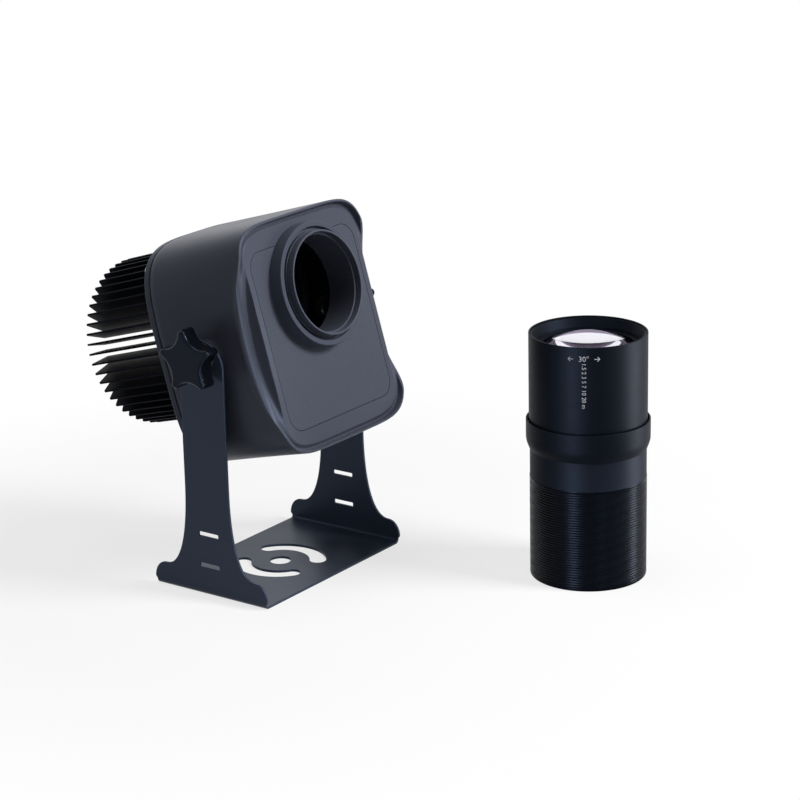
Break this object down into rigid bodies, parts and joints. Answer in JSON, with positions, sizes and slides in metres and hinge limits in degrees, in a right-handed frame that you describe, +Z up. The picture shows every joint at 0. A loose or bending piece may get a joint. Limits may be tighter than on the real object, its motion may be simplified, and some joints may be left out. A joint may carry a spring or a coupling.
{
  "type": "gobo projector",
  "caption": "Projector head with a finned heat sink, tilting in a bent sheet yoke between star knobs, with its cylindrical screw-on lens unit standing beside it.",
  "frame": {"origin": "centre of the mounting hole in the yoke's foot, on its underside", "axes": "+Z up, the tilt axis along X, the head facing -Y with the lens unit in front of it to the +X side"},
  "size_m": [0.2677, 0.4092, 0.2882],
  "materials": {
    "bracket": "satin black powder coat",
    "housing": "fine matt dark grey-blue powder coat",
    "panel": "fine textured dark grey-blue powder coat",
    "socket": "satin black anodised",
    "gasket": "matt black",
    "fins": "black anodised",
    "steel": "plain",
    "gland": "matt black",
    "board": "white solder mask",
    "emitter": "yellow phosphor",
    "inner_metal": "matt black",
    "clear_glass": "clear",
    "gobo": "plain disc, coated dark",
    "knob": "gloss black",
    "lens_metal": "satin black anodised",
    "coated_glass": "clear with a purple coating"
  },
  "bodies": {
    "base": {"yoke_bracket": "bracket", "lens_tube": "lens_metal", "lens_ring": "lens_metal"},
    "head": {"housing_shell": "housing", "front_plate": "panel", "lens_socket": "socket", "neck_tube": "socket", "rear_gasket": "gasket", "rear_flange": "housing", "heat_sink": "fins", "screw_top_left": "steel", "screw_top_right": "steel", "screw_low_left": "steel", "screw_low_right": "steel", "cable_gland": "gland", "light_board": "board", "light_emitter": "emitter", "light_tube": "inner_metal", "condenser_rear": "clear_glass", "condenser_spacer": "inner_metal", "condenser_front": "clear_glass", "gobo_holder": "inner_metal", "gobo_disc": "gobo", "pivot_boss_left": "steel", "pivot_boss_right": "steel", "friction_washer_left": "gasket", "friction_washer_right": "gasket"},
    "clamp_left": {"knob_left": "knob", "stud_left": "steel", "washer_left": "steel"},
    "clamp_right": {"knob_right": "knob", "stud_right": "steel", "washer_right": "steel"},
    "lens_carriage": {"inner_sleeve": "lens_metal", "front_glass": "coated_glass", "front_spacer": "lens_metal", "middle_glass": "coated_glass", "rear_spacer": "lens_metal", "rear_glass": "coated_glass", "rear_lock_ring": "lens_metal"},
    "focus_barrel": {"lens_barrel": "lens_metal", "front_ring": "lens_metal"}
  },
  "joints": [
    {"name": "head_tilt", "type": "hinge", "parent": "base", "child": "head", "pos_m": [0, 0, 0.191], "axis": [-1, 0, 0], "range_deg": [-106, 74]},
    {"name": "knob_left_turn", "type": "hinge", "parent": "head", "child": "clamp_left", "pos_m": [-0.095, 0, 0.191], "axis": [-1, 0, 0], "range_deg": [-180, 180]},
    {"name": "knob_right_turn", "type": "hinge", "parent": "head", "child": "clamp_right", "pos_m": [0.095, 0, 0.191], "axis": [1, 0, 0], "range_deg": [-180, 180]},
    {"name": "focus_slide", "type": "slide", "parent": "base", "child": "lens_carriage", "axis": [0, 0, 1], "range_m": [0, 0.006]},
    {"name": "focus_turn", "type": "hinge", "parent": "lens_carriage", "child": "focus_barrel", "pos_m": [0.115, -0.214, 0.15], "axis": [0, 0, 1], "range_deg": [0, 180]}
  ],
  "couplings": [
    {"joint": "focus_slide", "follows": "focus_turn", "m_per_rad": 0.0019098}
  ]
}
